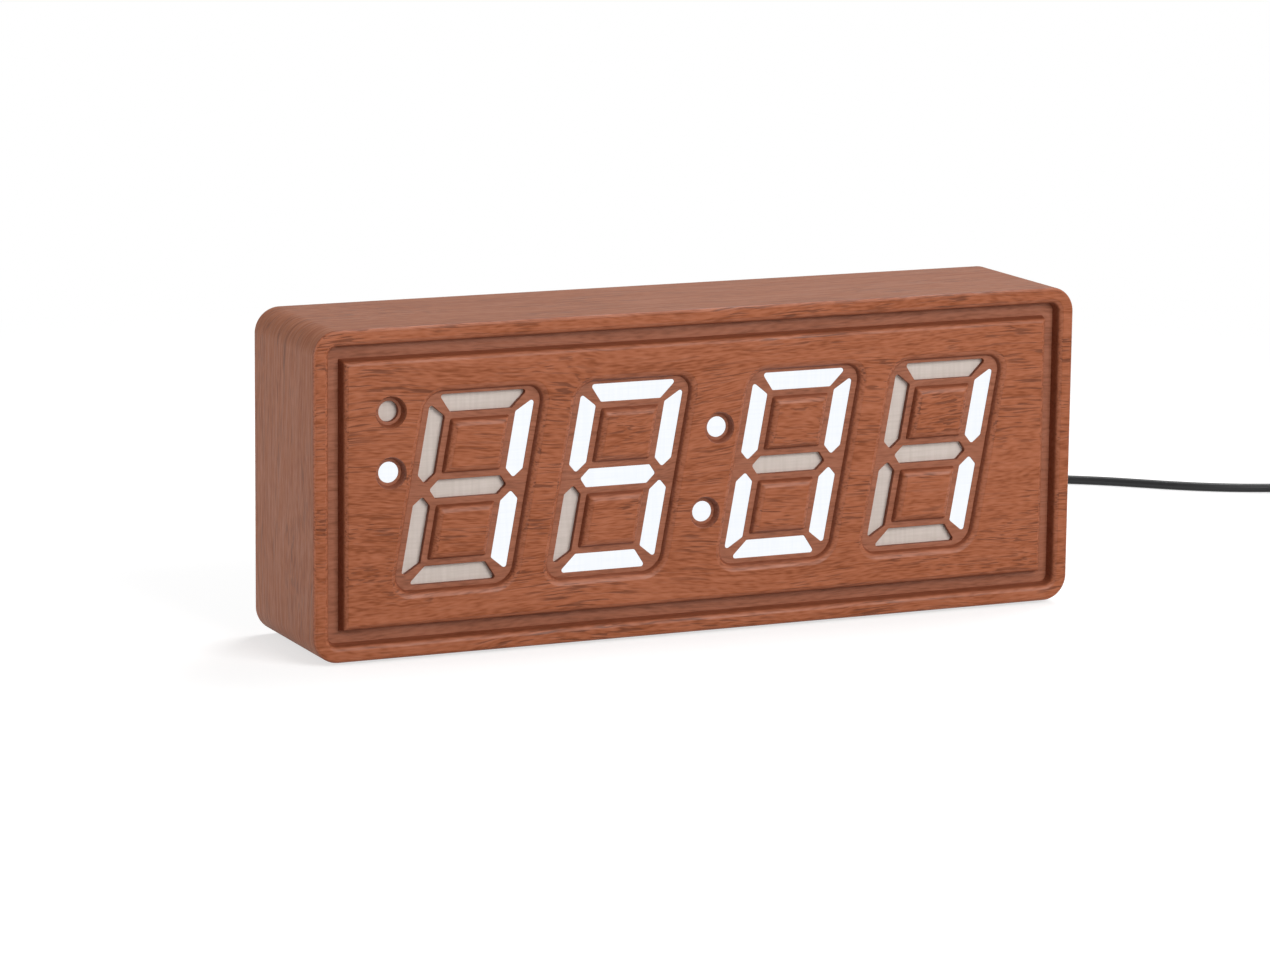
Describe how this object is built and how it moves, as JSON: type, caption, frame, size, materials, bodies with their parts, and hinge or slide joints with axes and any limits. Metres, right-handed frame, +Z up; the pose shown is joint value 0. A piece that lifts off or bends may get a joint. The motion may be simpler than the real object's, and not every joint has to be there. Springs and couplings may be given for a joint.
{
  "type": "desk alarm clock",
  "caption": "Desk alarm clock in a wooden case, with slanted digit windows milled through the front, rear keys, a battery door and a lead with a flat plug.",
  "frame": {"origin": "middle of the case's footprint on the surface that it stands on, with the lead left out", "axes": "+X to the right along the case's width, +Y to the back, +Z up; the display faces -Y"},
  "size_m": [0.3738, 0.1532, 0.0794],
  "materials": {
    "wood_case": "satin varnished veneer",
    "wood_front": "satin oiled milled wood",
    "wood_block": "raw sawn wood",
    "pad_rubber": "matt",
    "light_film": "translucent satin",
    "white_plastic": "matt",
    "board_green": "solder resist",
    "lamp_phosphor": "clear resin",
    "chip_black": "moulded",
    "socket_cream": "moulded",
    "screw_steel": "zinc plated",
    "cable_grey": "ribbed",
    "nickel_can": "nickel plated",
    "capacitor_sleeve": "shrink sleeve",
    "switch_black": "moulded",
    "key_black": "moulded",
    "plunger_white": "moulded",
    "cell_steel": "satin",
    "contact_bronze": "sprung sheet",
    "cover_black": "fine textured",
    "screw_dark": "blackened",
    "lead_black": "satin vinyl",
    "tie_black": "woven hook and loop",
    "contact_gold": "gold plated"
  },
  "bodies": {
    "clock": {"case_sleeve": "wood_case", "front_board": "wood_front", "glue_blocks": "wood_block", "case_pads": "pad_rubber", "display_film": "light_film", "light_box": "white_plastic", "display_board": "board_green", "segment_lamps": "lamp_phosphor", "driver_chips": "chip_black", "display_socket": "socket_cream", "display_screws": "screw_steel", "ribbon_cable": "cable_grey", "control_board": "board_green", "control_socket": "socket_cream", "controller_chip": "chip_black", "clock_crystal": "nickel_can", "smoothing_capacitors": "capacitor_sleeve", "alarm_buzzer": "chip_black", "key_switches": "switch_black", "control_screws": "screw_steel", "cell_holder": "switch_black", "coin_cell": "cell_steel", "cell_contacts": "contact_bronze", "power_jack": "switch_black", "jack_pin": "contact_bronze", "rear_cover": "cover_black", "rear_screws": "screw_dark", "plug_barrel": "nickel_can", "plug_grip": "lead_black", "lead_relief": "lead_black", "cord_lead": "lead_black", "cord_coil": "lead_black", "cord_tail": "lead_black", "cord_tie": "tie_black", "usb_relief": "lead_black", "usb_grip": "lead_black", "usb_shell": "nickel_can", "usb_tongue": "white_plastic", "usb_contacts": "contact_gold"},
    "mode_key_body": {"mode_key": "key_black", "mode_plunger": "plunger_white"},
    "down_key_body": {"down_key": "key_black", "down_plunger": "plunger_white"},
    "up_key_body": {"up_key": "key_black", "up_plunger": "plunger_white"},
    "alarm_key_body": {"alarm_key": "key_black", "alarm_plunger": "plunger_white"},
    "battery_door_body": {"battery_door": "cover_black"}
  },
  "joints": [
    {"name": "mode_key_press", "type": "slide", "parent": "clock", "child": "mode_key_body", "axis": [0, -1, 0], "range_m": [0, 0.0005], "stiffness_N_per_m": 3000, "springref_m": -0.0002},
    {"name": "down_key_press", "type": "slide", "parent": "clock", "child": "down_key_body", "axis": [0, -1, 0], "range_m": [0, 0.0005], "stiffness_N_per_m": 3000, "springref_m": -0.0002},
    {"name": "up_key_press", "type": "slide", "parent": "clock", "child": "up_key_body", "axis": [0, -1, 0], "range_m": [0, 0.0005], "stiffness_N_per_m": 3000, "springref_m": -0.0002},
    {"name": "alarm_key_press", "type": "slide", "parent": "clock", "child": "alarm_key_body", "axis": [0, -1, 0], "range_m": [0, 0.0005], "stiffness_N_per_m": 3000, "springref_m": -0.0002},
    {"name": "battery_door_hinge", "type": "hinge", "parent": "clock", "child": "battery_door_body", "pos_m": [0.03, 0.0171, 0.0302], "axis": [-1, 0, 0], "range_deg": [0, 90]}
  ]
}
